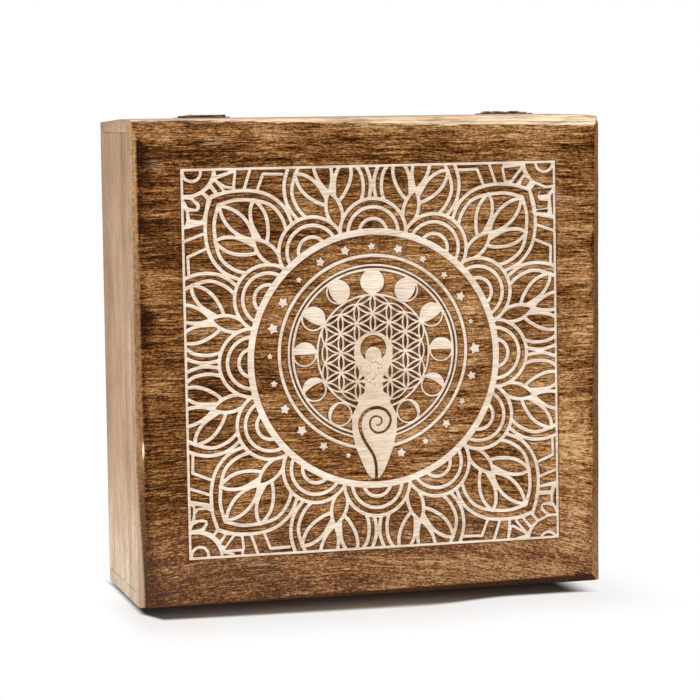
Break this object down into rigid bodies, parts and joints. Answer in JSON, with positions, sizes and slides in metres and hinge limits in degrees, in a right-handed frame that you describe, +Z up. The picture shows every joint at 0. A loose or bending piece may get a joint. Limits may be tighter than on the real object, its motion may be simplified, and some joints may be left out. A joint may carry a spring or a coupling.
{
  "type": "hinged wooden keepsake box",
  "caption": "Square wooden keepsake box with a hinged lid on two butt hinges, standing on its front edge, its bevelled lid face engraved with a mandala.",
  "frame": {"origin": "centre of the footprint on the floor, with the closed box standing on its front walls", "axes": "+X to the right along the hinge line, seen from the lid's face; +Y from the lid's face to the bottom board; +Z up from the front walls to the hinged back"},
  "size_m": [0.25, 0.092, 0.2506],
  "materials": {
    "stained_wood": "brown stain, satin, sanded through to pale raw wood in the engraved lines",
    "washed_wood": "pale washed wood, matt",
    "panel_wood": "plain thin board, matt",
    "aged_brass": "dark aged patina, worn bright on the knuckles"
  },
  "bodies": {
    "base": {"base_front_wall": "washed_wood", "base_back_wall": "washed_wood", "base_left_wall": "washed_wood", "base_right_wall": "washed_wood", "base_bottom_board": "panel_wood", "hinge_left_base_leaf": "aged_brass", "hinge_left_base_screw_1": "aged_brass", "hinge_left_base_screw_2": "aged_brass", "hinge_left_pin": "aged_brass", "hinge_right_base_leaf": "aged_brass", "hinge_right_base_screw_1": "aged_brass", "hinge_right_base_screw_2": "aged_brass", "hinge_right_pin": "aged_brass"},
    "lid": {"lid_front_rail": "washed_wood", "lid_back_rail": "washed_wood", "lid_left_rail": "washed_wood", "lid_right_rail": "washed_wood", "lid_top_board": "stained_wood", "hinge_left_lid_leaf": "aged_brass", "hinge_left_lid_screw_1": "aged_brass", "hinge_left_lid_screw_2": "aged_brass", "hinge_right_lid_leaf": "aged_brass", "hinge_right_lid_screw_1": "aged_brass", "hinge_right_lid_screw_2": "aged_brass"}
  },
  "joints": [
    {"name": "lid_hinge", "type": "hinge", "parent": "base", "child": "lid", "pos_m": [0, -0.014, 0.24985], "axis": [-1, 0, 0], "range_deg": [0, 175]}
  ]
}
